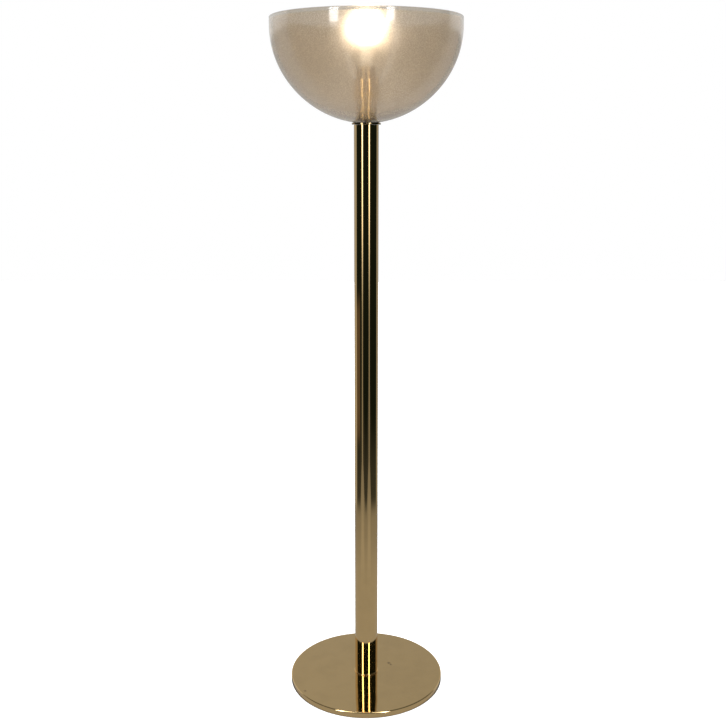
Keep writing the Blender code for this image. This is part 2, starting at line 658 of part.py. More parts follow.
tip = turned(
    "bulb_tip",
    [
        (0, BULB_TIP + 0.0012),
        (0.0046, BULB_TIP + 0.0012),
        (0.0040, BULB_TIP + 0.0004),
        (0.0020, BULB_TIP),
        (0, BULB_TIP),
    ],
    SOLDER,
    24,
)
tip.parent = bulb_rise
CAP_LOW = BULB_TIP + 0.0060
CAP_HIGH = BULB_TIP + 0.0270
CAP_THREAD_TOP = CAP_LOW + 0.0170
insulator = turned(
    "bulb_insulator",
    [
        (0, CAP_LOW - GAP),
        (0.0108, CAP_LOW - GAP),
        (0.0100, CAP_LOW - 0.0016),
        (0.0056, BULB_TIP + 0.0015),
        (0, BULB_TIP + 0.0015),
    ],
    PLASTIC,
    32,
)
CAP_INSIDE = 0.0113
bulb_cap = turned(
    "bulb_cap",
    [(0.0136, CAP_HIGH), (0.0130, CAP_HIGH - 0.0012)]
    + [(BULB_THREAD_RADIUS, level) for level in levels(CAP_LOW + 0.0006, CAP_THREAD_TOP)[::-1]]
    + [(0.0112, CAP_LOW), (0.0106, CAP_LOW), (CAP_INSIDE, CAP_LOW + 0.0010)]
    + [(CAP_INSIDE, CAP_HIGH - 0.0030), (0.0128, CAP_HIGH)],
    STEEL,
    24,
)
threaded(
    bulb_cap,
    BULB_THREAD_RADIUS,
    CAP_LOW,
    CAP_THREAD_TOP + GAP,
    lambda fade, wave: BULB_THREAD_RADIUS + THREAD_DEPTH * fade * wave,
)
smooth(bulb_cap, 60)

NECK_GLASS = CAP_INSIDE - 0.0005
ENVELOPE_WALL = 0.0008
NECK_END = (0.0160, 1.6000)
MEET = math.radians(50)  # below the level of the middle, where the neck runs into the ball


def bulb_outline(inset):
    """The envelope's outline from the top of its ball down to the end of its neck."""
    radius = BULB_RADIUS - inset
    ball = arc((0, BULB_CENTRE), radius, 90, -math.degrees(MEET), 7)
    ball[0] = (0, BULB_CENTRE + radius)
    meet_radius, meet_height = ball[-1]
    neck_radius, neck_height = NECK_END[0] - inset, NECK_END[1]
    drop = meet_height - neck_height
    neck = []
    for i in range(1, 4):
        t = i / 4
        bend = (2 * t**3 - 3 * t**2 + 1) * meet_radius + (3 * t**2 - 2 * t**3) * neck_radius
        bend -= (t**3 - 2 * t**2 + t) * drop * math.tan(MEET) + (t**3 - t**2) * drop * 0.05
        neck.append((bend, meet_height - drop * t))
    return ball + neck + [(neck_radius, neck_height), (neck_radius - 0.0012, CAP_HIGH + 0.0040)]


outer = bulb_outline(0) + [
    (NECK_GLASS + 0.0020, CAP_HIGH + 0.0006),
    (NECK_GLASS - 0.0002, CAP_HIGH - 0.0040),
    (NECK_GLASS - 0.0002, CAP_LOW + 0.0040),
]
inner = bulb_outline(ENVELOPE_WALL) + [
    (NECK_GLASS + 0.0010, CAP_HIGH + 0.0010),
    (NECK_GLASS - 0.0012, CAP_HIGH - 0.0040),
    (NECK_GLASS - 0.0012, CAP_LOW + 0.0040),
]
bulb_glass = turned("bulb_glass", outer + inner[::-1], OPAL)
STEM_LOW = CAP_LOW + 0.0045
STEM_TOP = 1.6250
bulb_stem = turned(
    "bulb_stem",
    [
        (0, STEM_TOP),
        (0.0022, STEM_TOP - 0.0010),
        (0.0025, STEM_TOP - 0.0150),
        (0.0045, STEM_LOW + 0.0160),
        (0.0090, STEM_LOW + 0.0020),
        (0.0090, STEM_LOW),
        (0, STEM_LOW),
    ],
    CLEAR,
    16,
)


def wire(name, points, thickness, material):
    """A bare wire along its route."""
    thing = lead(name, points, material)
    thing.data.bevel_depth = thickness / 2
    thing.data.bevel_resolution = 0
    return thing


FILAMENT_HEIGHT = 1.6700
FILAMENT_RISE = 0.0040
FILAMENT_THICKNESS = 0.0008
FILAMENT_PIECES = 8
SUPPORT_THICKNESS = 0.0006
SUPPORT_FOOT_X = 0.0040
SUPPORT_FOOT_Z = STEM_TOP - 0.0180
SUPPORT_HEAD_X = 0.0150
support_wires = []
for side, sign in (("left", -1), ("right", 1)):
    support_line = [(sign * SUPPORT_FOOT_X, 0, SUPPORT_FOOT_Z), (sign * SUPPORT_HEAD_X, 0, FILAMENT_HEIGHT)]
    support_wires.append(wire(f"bulb_wire_{side}", support_line, SUPPORT_THICKNESS, STEEL))
half_span = SUPPORT_HEAD_X - FILAMENT_THICKNESS
filament_line = []
for i in range(FILAMENT_PIECES + 1):
    share = i / FILAMENT_PIECES
    rise = FILAMENT_RISE * math.sin(math.pi * share)
    filament_line.append((half_span * (2 * share - 1), 0, FILAMENT_HEIGHT + rise))
filament = wire("bulb_filament", filament_line, FILAMENT_THICKNESS, TUNGSTEN)
for piece in (insulator, bulb_cap, bulb_glass, bulb_stem, filament, *support_wires):
    piece.parent = bulb_turn

# Leads: live and neutral from the block along the channel, up the rod and out to the holder's two terminals,
# and the earth lead from the block to its tag.
ROD_LEAD_X = 0.0017
RUN_Z = 0.0048
BEND = 0.0045
barrel_end = BLOCK_Y - BARREL_LENGTH / 2
for side, sign in (("live", -1), ("neutral", 1)):
    bend_up = []
    for angle in range(0, 91, 15):
        turn = math.radians(angle)
        bend_up.append((sign * ROD_LEAD_X, BEND * (1 - math.sin(turn)), RUN_Z + BEND * (1 - math.cos(turn))))
    bend_out = [(sign * (ROD_LEAD_X + 0.0009 * step), 0, ROD_TOP + 0.0015 * step) for step in (0, 1, 2)]
    lead(
        "lead_" + side,
        [
            (sign * POLE_SPACING, barrel_end - 0.0004, BARREL_Z),
            (sign * POLE_SPACING, barrel_end - 0.0050, BARREL_Z),
            (sign * 0.0060, barrel_end - 0.0120, RUN_Z + 0.0008),
            (sign * 0.0036, 0.0200, RUN_Z),
            (sign * 0.0022, 0.0100, RUN_Z),
        ]
        + bend_up
        + bend_out
        + [
            (sign * 0.0060, 0, HOLDER_SPLIT - 0.0018),
            (sign * 0.0105, 0, HOLDER_SPLIT + 0.0002),
            (sign * 0.0112, 0, SCREW_Z - 0.0028),
        ],
        INSULATION[side],
    )
lead(
    "lead_earth",
    [
        (0.0, barrel_end - 0.0004, BARREL_Z),
        (0.0002, barrel_end - 0.0030, BARREL_Z),
        (0.0040, barrel_end - 0.0065, BARREL_Z + 0.0008),
        (0.0080, EARTH_Y, NUT_POCKET_TOP - 0.0022),
        (EARTH_X - 0.0050, EARTH_Y, NUT_POCKET_TOP - 0.0018),
    ],
    INSULATION["earth"],
)
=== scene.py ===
"""Torchiere floor lamp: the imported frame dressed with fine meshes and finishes, on a pale floor."""

import math

import bmesh
import bpy
from mathutils import Matrix, Vector


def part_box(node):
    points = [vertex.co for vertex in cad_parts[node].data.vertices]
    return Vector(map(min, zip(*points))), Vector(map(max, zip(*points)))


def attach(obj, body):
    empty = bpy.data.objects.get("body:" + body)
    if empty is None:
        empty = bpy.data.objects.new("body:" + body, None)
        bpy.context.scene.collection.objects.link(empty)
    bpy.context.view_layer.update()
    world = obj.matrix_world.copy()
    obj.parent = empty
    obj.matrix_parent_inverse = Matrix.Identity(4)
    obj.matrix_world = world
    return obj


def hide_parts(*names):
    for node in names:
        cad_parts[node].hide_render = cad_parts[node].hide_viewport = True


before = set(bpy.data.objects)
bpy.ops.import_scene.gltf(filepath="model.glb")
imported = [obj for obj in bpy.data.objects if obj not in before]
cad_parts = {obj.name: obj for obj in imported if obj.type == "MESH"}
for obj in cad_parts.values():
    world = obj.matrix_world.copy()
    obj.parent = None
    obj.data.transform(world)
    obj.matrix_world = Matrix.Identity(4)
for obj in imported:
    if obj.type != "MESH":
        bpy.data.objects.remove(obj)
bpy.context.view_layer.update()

# Cast weight: a rough grey-iron disc that keeps the tall column upright. It is hollowed from below for the
# nut, the terminals and the leads, and it stays as it left the sand.


class Number:
    """A number that changes over a surface. Sums on it add Math nodes to its finish."""

    def __init__(self, finish, socket):
        self.finish = finish
        self.socket = socket

    def maths(self, operation, *values):
        return self.finish.node("ShaderNodeMath", {"operation": operation}, dict(enumerate(values)))

    def __add__(self, other):
        return self.maths("ADD", self, other)

    def __sub__(self, other):
        return self.maths("SUBTRACT", self, other)

    def __mul__(self, other):
        return self.maths("MULTIPLY", self, other)

    def __pow__(self, other):
        return self.maths("POWER", self, other)

    def __radd__(self, other):
        return self.maths("ADD", other, self)

    def __rsub__(self, other):
        return self.maths("SUBTRACT", other, self)

    def __rmul__(self, other):
        return self.maths("MULTIPLY", other, self)

    def __abs__(self):
        return self.maths("ABSOLUTE", self)

    def part(self, name):
        """Another output of the node that this number comes from."""
        return Number(self.finish, self.socket.node.outputs[name])

    def ease(self, low, high):
        """0 at low, 1 at high, and smooth between them. Low may be the greater."""
        limits = {"Value": self, "From Min": low, "From Max": high}
        return self.finish.node("ShaderNodeMapRange", {"interpolation_type": "SMOOTHSTEP"}, limits)


class Finish:
    """A material being mixed: its shader, and the nodes that vary it."""

    def __init__(self, name, colour, **sockets):
        self.material = bpy.data.materials.new(name)
        self.material.use_nodes = True
        self.nodes = self.material.node_tree.nodes
        self.links = self.material.node_tree.links
        self.shader = self.nodes["Principled BSDF"]
        self.shader.inputs["Base Color"].default_value = (*colour, 1)
        for socket, value in sockets.items():
            self.shader.inputs[socket.replace("_", " ")].default_value = value

    def feed(self, socket, value):
        if isinstance(value, Number):
            self.links.new(value.socket, socket)
        else:
            socket.default_value = value

    def node(self, kind, settings=None, values=None):
        """Any node: its settings first, then the values or links of its sockets."""
        made = self.nodes.new(kind)
        for setting, value in (settings or {}).items():
            setattr(made, setting, value)
        for socket, value in (values or {}).items():
            self.feed(made.inputs[socket], value)
        return Number(self, made.outputs[0])

    def varies(self, **sockets):
        for socket, value in sockets.items():
            self.feed(self.shader.inputs[socket.replace("_", " ")], value)

    def place(self):
        """Where a point of the surface is, in metres."""
        return self.node("ShaderNodeTexCoord").part("Object")

    def along(self, axis):
        """One coordinate of that place."""
        return self.node("ShaderNodeSeparateXYZ", {}, {0: self.place()}).part(axis)

    def stretched(self, x, y, z):
        """The place scaled along each axis, so that a pattern can be longer one way."""
        scale = {0: self.place(), 1: (x, y, z)}
        return self.node("ShaderNodeVectorMath", {"operation": "MULTIPLY"}, scale)

    def noise(self, size, detail=2.0, roughness=0.5, place=None):
        """Soft random mottling with features of about this size, from 0 to 1."""
        values = {"Vector": place or self.place(), "Scale": 1 / size, "Detail": detail}
        return self.node("ShaderNodeTexNoise", {}, values | {"Roughness": roughness})

    def cells(self, size, place=None):
        """Round cells of about this size: the distance from the middle of each, from 0 up."""
        return self.node("ShaderNodeTexVoronoi", {}, {"Vector": place or self.place(), "Scale": 1 / size})

    def blend(self, share, first, second):
        """A colour between two, by a share that varies."""
        made = self.nodes.new("ShaderNodeMix")
        made.data_type = "RGBA"
        for socket, value in ((0, share), (6, first), (7, second)):
            self.feed(made.inputs[socket], (*value, 1) if isinstance(value, tuple) else value)
        return Number(self, made.outputs[2])

    def bumped(self, height, distance, strength=1.0):
        values = {"Height": height, "Distance": distance, "Strength": strength}
        self.varies(Normal=self.node("ShaderNodeBump", {}, values))

    def shows(self, shader):
        """Puts a mix of shaders in the place of the plain one."""
        self.feed(self.nodes["Material Output"].inputs["Surface"], shader)


def dress(material, *nodes):
    """Gives CAD pieces their finish."""
    for node in nodes:
        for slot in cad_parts[node].material_slots:
            slot.material = material


def iron():
    """Sand-cast iron, oiled and dusty, never machined."""
    dark, rust = (0.045, 0.044, 0.043), (0.090, 0.052, 0.032)
    cast = Finish("cast_iron", dark, Roughness=0.75, Metallic=0.6)
    sand = cast.noise(0.0015, 5, 0.7)
    stains = cast.noise(0.030, 3)
    cast.varies(Base_Color=cast.blend(stains.ease(0.55, 0.75), dark, rust), Roughness=0.6 + 0.3 * sand)
    cast.bumped(sand, 0.0005)
    return cast.material


dress(iron(), "base_weight")

# Terminal block: a moulded strip of black phenolic with three drawn-brass barrels, each with two steel clamp
# screws. One long screw holds it in its pocket in the weight, and the earth tag has a screw of its own.
POLES = ("live", "neutral", "earth")


def phenolic():
    """Moulded black plastic with a faint grain and a dull sheen."""
    plastic = Finish("black_plastic", (0.022, 0.021, 0.020), Roughness=0.4, Specular_IOR_Level=0.45)
    grain = plastic.noise(0.0011, 4)
    plastic.varies(Base_Color=plastic.blend(grain, (0.017, 0.016, 0.015), (0.034, 0.032, 0.030)))
    plastic.varies(Roughness=0.32 + 0.2 * grain)
    plastic.bumped(grain, 0.00008)
    return plastic.material


def zinc():
    """Zinc-plated steel: cloudy grey with fine marks from drawing and turning."""
    plate = Finish("zinc_plated_steel", (0.56, 0.56, 0.54), Metallic=1.0, Roughness=0.32)
    clouds = plate.noise(0.004, 4)
    marks = plate.noise(1.0, 2, place=plate.stretched(400, 400, 4000))
    plate.varies(Base_Color=plate.blend(clouds.ease(0.3, 0.8), (0.60, 0.60, 0.57), (0.44, 0.44, 0.45)))
    plate.varies(Roughness=0.24 + 0.2 * clouds)
    plate.bumped(marks, 0.00004)
    return plate.material


def drawn_brass():
    """Unlacquered drawn brass for contacts: duller and pinker than the polished pieces."""
    metal = Finish("drawn_brass", (0.66, 0.50, 0.27), Metallic=1.0, Roughness=0.3)
    tarnish = metal.noise(0.005, 4)
    metal.varies(Base_Color=metal.blend(tarnish.ease(0.4, 0.8), (0.68, 0.52, 0.28), (0.42, 0.29, 0.15)))
    metal.varies(Roughness=0.22 + 0.25 * tarnish)
    metal.bumped(metal.noise(1.0, 2, place=metal.stretched(300, 300, 5000)), 0.00003)
    return metal.material


black_plastic = phenolic()
steel = zinc()
contact_brass = drawn_brass()
dress(black_plastic, "terminal_block")
dress(contact_brass, "earth_tag")
dress(steel, "block_fixing_screw", "earth_screw")
for pole in POLES:
    dress(contact_brass, f"terminal_barrel_{pole}")
    dress(steel, f"clamp_screw_{pole}_mains", f"clamp_screw_{pole}_lamp")

# Tie rod: a hollow threaded steel rod that pulls base, column, bowl and lamp holder together, with the leads
# inside it. A thick washer and a nut hold it under the weight.
dress(steel, "tie_rod", "bottom_washer", "bottom_nut")

# Leads: copper strands in soft plastic sleeving, brown and blue from the block up the rod to the lamp holder,
# green and yellow from the block to the earth tag.
LEAD_COLOURS = {
    "live": ((0.17, 0.065, 0.028), (0.21, 0.085, 0.038)),
    "neutral": ((0.030, 0.105, 0.38), (0.040, 0.135, 0.46)),
    "earth": ((0.070, 0.34, 0.050), (0.78, 0.66, 0.060)),
}
STRIPE = 0.0028


def sleeving(pole):
    """Soft plastic sleeving. The earth's is striped along its length."""
    dark, light = LEAD_COLOURS[pole]
    sleeve = Finish(f"sleeving_{pole}", dark, Roughness=0.42)
    grain = sleeve.noise(0.0009, 3)
    share = grain
    if pole == "earth":
        share = (sleeve.along("Y") * (math.tau / STRIPE)).maths("SINE").ease(-0.1, 0.1)
    sleeve.varies(Base_Color=sleeve.blend(share, dark, light), Roughness=0.36 + 0.15 * grain)
    sleeve.bumped(grain, 0.00005)
    return sleeve.material


for pole in POLES:
    dress(sleeving(pole), f"lead_{pole}")

# Base cover: a shallow pan of brass sheet, spun with a rounded edge, polished to a mirror and lacquered. It
# drops over the weight, and the mains cord leaves through a hole in its rear edge.
POLISHED = (0.80, 0.565, 0.265)
TARNISHED = (0.24, 0.15, 0.07)
SHEET = 0.0015
EDGE_ROUND = 0.0030
INLET_HOLE = 0.0043
ROD_HOLE = 0.0053


def brass(name, colour=POLISHED, rough=0.045, wave=(25.0, 25.0, 4.0), worn=0.35, marks=()):
    """Polished brass under clear lacquer. The buffing leaves slow ripples and a faint haze, and age leaves
    small brown specks where the lacquer has failed. A mark is a larger one: its place and its radius."""
    metal = Finish(name, colour, Metallic=1.0, Roughness=rough, Coat_Weight=0.25, Coat_Roughness=0.03)
    haze = metal.noise(0.045, 4)
    specks = metal.cells(0.011).ease(0.12 * worn, 0.0) * metal.noise(0.05, 2).ease(0.52, 0.62)
    for *spot, radius in marks:
        away = metal.node("ShaderNodeVectorMath", {"operation": "DISTANCE"}, {0: metal.place(), 1: spot})
        specks = specks + (away.part("Value") + 0.006 * metal.noise(0.004, 3)).ease(radius + 0.003, 0.003)
    warm = metal.blend(haze.ease(0.35, 0.75), colour, tuple(0.94 * part for part in colour))
    metal.varies(Base_Color=metal.blend(specks, warm, TARNISHED))
    metal.varies(Roughness=rough + 0.03 * haze + 0.35 * specks)
    ripples = metal.noise(1.0, 1, place=metal.stretched(*wave))
    metal.bumped(ripples + 0.002 * metal.noise(0.0008, 2), 0.0012)
    return metal.material


def filleted(corners, pieces=6):
    """An outline with round corners, from (radius, height, rounding) corners in order."""
    outline = []
    for i, (across, up, rounding) in enumerate(corners):
        if not rounding:
            outline.append((across, up))
            continue
        corner = Vector((across, up))
        one = (Vector(corners[i - 1][:2]) - corner).normalized()
        two = (Vector(corners[(i + 1) % len(corners)][:2]) - corner).normalized()
        half = one.angle(two) / 2
        centre = corner + (one + two).normalized() * rounding / math.sin(half)
        spoke = corner + one * rounding / math.tan(half) - centre
        sweep = spoke.angle_signed(corner + two * rounding / math.tan(half) - centre)
        for j in range(pieces + 1):
            outline.append(tuple(centre + Matrix.Rotation(-sweep * j / pieces, 2) @ spoke))
    return outline


def solid(piece):
    """Turns the piece's modifiers into plain mesh."""
    graph = bpy.context.evaluated_depsgraph_get()
    made = bpy.data.meshes.new_from_object(piece.evaluated_get(graph))
    piece.modifiers.clear()
    piece.data = made


def smooth(piece, angle=40):
    """Smooth shading with flats that stay flat beside their rounded edges."""
    piece.data.shade_smooth()
    piece.data.set_sharp_from_angle(angle=math.radians(angle))
    weighted = piece.modifiers.new("flats_stay_flat", "WEIGHTED_NORMAL")
    weighted.keep_sharp = True


def turned(name, outline, material, stands_for, steps=192, body="lamp_stand"):
    """A turned piece in the place of a CAD node: an outline of (radius, height) points that runs down the
    outer side, spun about the lamp's axis. It closes on itself, or starts and ends on the axis."""
    mesh = bpy.data.meshes.new(name)
    links = [(i, i + 1) for i in range(len(outline) - 1)]
    if outline[0][0] > 0:
        links.append((len(outline) - 1, 0))
    mesh.from_pydata([(across, 0, up) for across, up in outline], links, [])
    piece = bpy.data.objects.new(name, mesh)
    bpy.context.scene.collection.objects.link(piece)
    screw = piece.modifiers.new("turn", "SCREW")
    screw.angle = math.tau
    screw.steps = screw.render_steps = steps
    screw.use_merge_vertices = True
    screw.merge_threshold = 0.000001
    solid(piece)
    piece.data.materials.append(material)
    smooth(piece)
    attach(piece, body)
    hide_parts(stands_for)
    return piece


def drilled(piece, radius, start, end):
    """Takes a round hole out of a piece, from one point to another along Y."""
    bore = bpy.data.meshes.new("bore")
    cage = bmesh.new()
    length = end[1] - start[1]
    bmesh.ops.create_cone(cage, cap_ends=True, segments=48, radius1=radius, radius2=radius, depth=length)
    bmesh.ops.rotate(cage, verts=cage.verts, matrix=Matrix.Rotation(math.pi / 2, 3, "X"))
    bmesh.ops.translate(cage, verts=cage.verts, vec=(Vector(start) + Vector(end)) / 2)
    cage.to_mesh(bore)
    cage.free()
    cutter = bpy.data.objects.new("bore", bore)
    bpy.context.scene.collection.objects.link(cutter)
    piece.modifiers.clear()
    cut = piece.modifiers.new("bore", "BOOLEAN")
    cut.object = cutter
    solid(piece)
    bpy.data.objects.remove(cutter)
    smooth(piece)


cover_low, cover_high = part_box("base_cover")
base_radius, base_top = cover_high.x, cover_high.z
gland_low, gland_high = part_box("cord_gland")
inlet_height = (gland_low.z + gland_high.z) / 2
base_marks = [
    (0.062, 0.034, base_top, 0.0070),
    (0.067, 0.025, base_top, 0.0045),
    (-0.159, -0.103, base_top, 0.0045),
]
base_brass = brass("polished_brass_base", wave=(9.0, 9.0, 9.0), worn=1.0, marks=base_marks)
base_cover = turned(
    "spun_base_cover",
    filleted(
        [
            (ROD_HOLE, base_top, 0),
            (base_radius, base_top, EDGE_ROUND),
            (base_radius, cover_low.z, 0.0004),
            (base_radius - SHEET, cover_low.z, 0.0004),
            (base_radius - SHEET, base_top - SHEET, EDGE_ROUND - SHEET),
            (ROD_HOLE, base_top - SHEET, 0),
        ]
    ),
    base_brass,
    "base_cover",
    256,
)
drilled(base_cover, INLET_HOLE, (0, base_radius - 0.01, inlet_height), (0, base_radius + 0.01, inlet_height))

# Cord gland: a moulded black bush pushed into that hole from outside, so that the sheet metal can't cut the
# cord. Its flange stands on the cover.
GLAND_BODY = 0.0040
GLAND_BORE = 0.0032
TOUCH = 0.0003  # the air between two pieces that touch
gland = turned(
    "moulded_cord_gland",
    filleted(
        [
            (gland_high.x, gland_high.y, 0.0007),
            (gland_high.x, base_radius + TOUCH, 0.0002),
            (GLAND_BODY, base_radius + TOUCH, 0),
            (GLAND_BODY, gland_low.y, 0.0003),
            (GLAND_BORE, gland_low.y, 0.0003),
            (GLAND_BORE, gland_high.y, 0.0007),
        ]
    ),
    black_plastic,
    "cord_gland",
    64,
)
gland.data.transform(Matrix.Translation((0, 0, inlet_height)) @ Matrix.Rotation(-math.pi / 2, 4, "X"))

# Base pad: a disc of pressed black wool felt, glued under the weight so that the brass never touches the
# floor. Only its edge shows, as a dark line under the cover.


def felt():
    """Matted short fibres that stand a little off the surface."""
    black, dust = (0.012, 0.012, 0.013), (0.045, 0.043, 0.040)
    wool = Finish("black_felt", black, Roughness=0.95, Sheen_Weight=0.4, Sheen_Roughness=0.6)
    fibres = wool.noise(0.0012, 6, 0.7)
    wool.varies(Base_Color=wool.blend(fibres.ease(0.5, 0.8), black, dust))
    wool.bumped(fibres, 0.0006)
    return wool.material


pad_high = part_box("base_felt")[1]
pad_edge = [(pad_high.x, pad_high.z, 0.0005), (pad_high.x, 0, 0.0004), (0, 0, 0), (0, pad_high.z, 0)]
pad_edge = filleted(pad_edge, 4)
turned("pressed_felt_pad", pad_edge[-1:] + pad_edge[:-1], felt(), "base_felt", 256)

# Foot ring: a turned brass bead between the cover and the tube. It centres the tube and hides its sawn end,
# and the pull of the rod holds it.
column_brass = brass("polished_brass_column", wave=(14.0, 14.0, 1.4), worn=0.5)


def bead(name, node, rounding, material):
    """A turned ring with a rounded edge, bored for the tie rod."""
    low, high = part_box(node)
    outline = filleted(
        [(ROD_HOLE, high.z, 0), (high.x, high.z, rounding), (high.x, low.z, rounding), (ROD_HOLE, low.z, 0)]
    )
    return turned(name, outline, material, node)


bead("turned_foot_ring", "foot_ring", 0.0011, column_brass)

# Column: one length of drawn brass tube, polished along its length and lacquered. A turned steel plug centres
# the rod in each end, and the rod clamps the tube between the base and the bowl.
TUBE_WALL = 0.0015


def tube(name, node, wall, material, edge=0.0003):
    """A plain tube with its edges broken, in the place of a CAD node."""
    low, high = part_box(node)
    corners = [(high.x, high.z, edge), (high.x, low.z, edge)]
    corners += [(high.x - wall, low.z, edge), (high.x - wall, high.z, edge)]
    return turned(name, filleted(corners, 3), material, node)


tube("drawn_column_tube", "column_tube", TUBE_WALL, column_brass)
dress(steel, "column_foot_plug", "column_top_plug")

# Seat ring: a darkened brass cup on top of the column. Its dished top carries the bowl on a ring of black
# rubber, which keeps the glass off the metal.
DARKENED = (0.34, 0.25, 0.13)
BOWL_ROUNDNESS = 1.943  # 2 would make the bowl's side an ellipse
BOWL_DEPTH = 0.2205
BOWL_WALL = 0.0060
BOWL_HOLE = 0.0120
GASKET = 0.0012
LOWER_GASKET_BORE = 0.0125
bowl_low, bowl_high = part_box("glass_bowl")
bowl_radius, bowl_rim = bowl_high.x, bowl_high.z


def under(across, inset=0.0):
    """How far the bowl's surface has risen above its lowest point, at a radius."""
    share = min(across / (bowl_radius - inset), 1)
    return inset + (BOWL_DEPTH - inset) * (1 - (1 - share**BOWL_ROUNDNESS) ** (1 / BOWL_ROUNDNESS))


def along_bowl(inner, outer, inset, lift, pieces=8):
    """Points from one radius to another that follow the bowl's surface, lifted off it."""
    radii = [inner + (outer - inner) * i / pieces for i in range(pieces + 1)]
    return [(across, bowl_bottom + under(across, inset) + lift) for across in radii]


def rubber():
    """Black rubber with a bloom of grey chalk."""
    black = Finish("black_rubber", (0.018, 0.018, 0.018), Roughness=0.8)
    bloom = black.noise(0.003, 4)
    black.varies(Base_Color=black.blend(bloom.ease(0.45, 0.8), (0.016, 0.016, 0.016), (0.06, 0.06, 0.058)))
    black.bumped(black.noise(0.0006, 3), 0.0001)
    return black.material


bowl_bottom = bowl_low.z - under(BOWL_HOLE)
aged = brass("darkened_brass", DARKENED, 0.18, (30.0, 30.0, 30.0), 1.5)
black_rubber = rubber()
seat_low, seat_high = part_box("seat_ring")
gasket_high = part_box("lower_gasket")[1]
seat_edge = [(ROD_HOLE, seat_low.z, 0), (seat_high.x, seat_low.z, 0.0005), (seat_high.x, seat_high.z, 0)]
seat_edge = filleted(seat_edge, 4)
turned(
    "dished_seat_ring",
    seat_edge[:0:-1] + seat_edge[:1] + along_bowl(ROD_HOLE, seat_high.x, 0, -2 * TOUCH - GASKET)[:-1],
    aged,
    "seat_ring",
)
turned(
    "lower_rubber_gasket",
    along_bowl(LOWER_GASKET_BORE, gasket_high.x, 0, -TOUCH - GASKET)[::-1]
    + along_bowl(LOWER_GASKET_BORE, gasket_high.x, 0, -TOUCH),
    black_rubber,
    "lower_gasket",
)

# Bowl: thick blown glass in two layers. The inner one is champagne brown and full of fine bubbles, the outer
# casing is clear, and the rim is cut, ground flat and fire-polished.
CHAMPAGNE = (0.75, 0.62, 0.47)
BUBBLE_WALL = (0.96, 0.84, 0.69)
BUBBLE = 0.0021
BUBBLE_TOP = 0.0078  # the bubbles stop this far below the rim
RIM_ROUND = 0.0022


def bowl_side(inset, pieces):
    """Points up the bowl's side from its hole to its widest level."""
    first = math.asin((BOWL_HOLE / (bowl_radius - inset)) ** (BOWL_ROUNDNESS / 2))
    side = []
    for i in range(pieces + 1):
        turn = first + (math.pi / 2 - first) * i / pieces
        across = (bowl_radius - inset) * math.sin(turn) ** (2 / BOWL_ROUNDNESS)
        fall = (BOWL_DEPTH - inset) * max(math.cos(turn), 0) ** (2 / BOWL_ROUNDNESS)
        side.append((across, bowl_bottom + BOWL_DEPTH - fall))
    return side


def bubble_glass():
    """Glass that scatters light forwards among its bubbles and lets the rest straight through, more of it
    near the foot. Its clear casing gives it a gloss, and there are no bubbles in the band under the rim."""
    glass = Finish("champagne_bubble_glass", CHAMPAGNE, Roughness=0.54, IOR=1.25, Transmission_Weight=0.95)
    bubbly = glass.along("Z").ease(bowl_rim - BUBBLE_TOP + 0.0006, bowl_rim - BUBBLE_TOP - 0.0006)
    bubbles = glass.cells(BUBBLE).ease(0.55, 0.15)
    swirl = glass.noise(0.035, 3)
    speckle = bubbly * bubbles
    glass.varies(Base_Color=glass.blend(speckle, CHAMPAGNE, BUBBLE_WALL))
    glow = glass.node("ShaderNodeBsdfTranslucent", {}, {"Color": (0.72, 0.60, 0.46, 1)})
    clear = glass.node("ShaderNodeBsdfTransparent", {}, {"Color": (0.90, 0.87, 0.82, 1)})
    gloss = glass.node("ShaderNodeBsdfAnisotropic", {}, {"Roughness": 0.08})
    lit = 0.15 + 0.15 * swirl + 0.20 * speckle
    scatter = Number(glass, glass.shader.outputs[0])
    body = glass.node("ShaderNodeMixShader", {}, {0: lit, 1: scatter, 2: glow})
    foot = glass.along("Z").ease(bowl_bottom + 0.060, bowl_bottom + 0.008)
    open_share = 0.85 - bubbly * (0.28 + 0.20 * bubbles) * (1 - 0.4 * foot)
    walls = glass.node("ShaderNodeMixShader", {}, {0: open_share, 1: body, 2: clear})
    facing = glass.node("ShaderNodeLayerWeight", {}, {"Blend": 0.5}).part("Facing")
    shine = 0.04 + 0.85 * facing**3.0
    glass.shows(glass.node("ShaderNodeMixShader", {}, {0: shine, 1: walls, 2: gloss}))
    return glass.material


rim = filleted(
    [
        (bowl_radius - BOWL_WALL, bowl_rim, RIM_ROUND),
        (bowl_radius, bowl_rim, RIM_ROUND),
        (bowl_radius, bowl_rim - 0.01, 0),
    ]
)
turned(
    "blown_glass_bowl",
    rim[:-1] + bowl_side(0, 64)[::-1] + bowl_side(BOWL_WALL, 64),
    bubble_glass(),
    "glass_bowl",
    256,
)

# Bowl fixing: a second rubber ring, a thick washer and one nut clamp the glass. A short brass tube stands
# round them on the rubber and carries what is above.
GASKET_BORE = 0.0060
NECK_WALL = 0.0012
gasket_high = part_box("upper_gasket")[1]
turned(
    "upper_rubber_gasket",
    [(gasket_high.x, gasket_high.z)]
    + along_bowl(GASKET_BORE, gasket_high.x, BOWL_WALL, 2 * TOUCH)[::-1]
    + [(GASKET_BORE, gasket_high.z)],
    black_rubber,
    "upper_gasket",
)
dress(steel, "clamp_washer", "bowl_nut")
tube("brass_neck_tube", "neck_tube", NECK_WALL, column_brass)

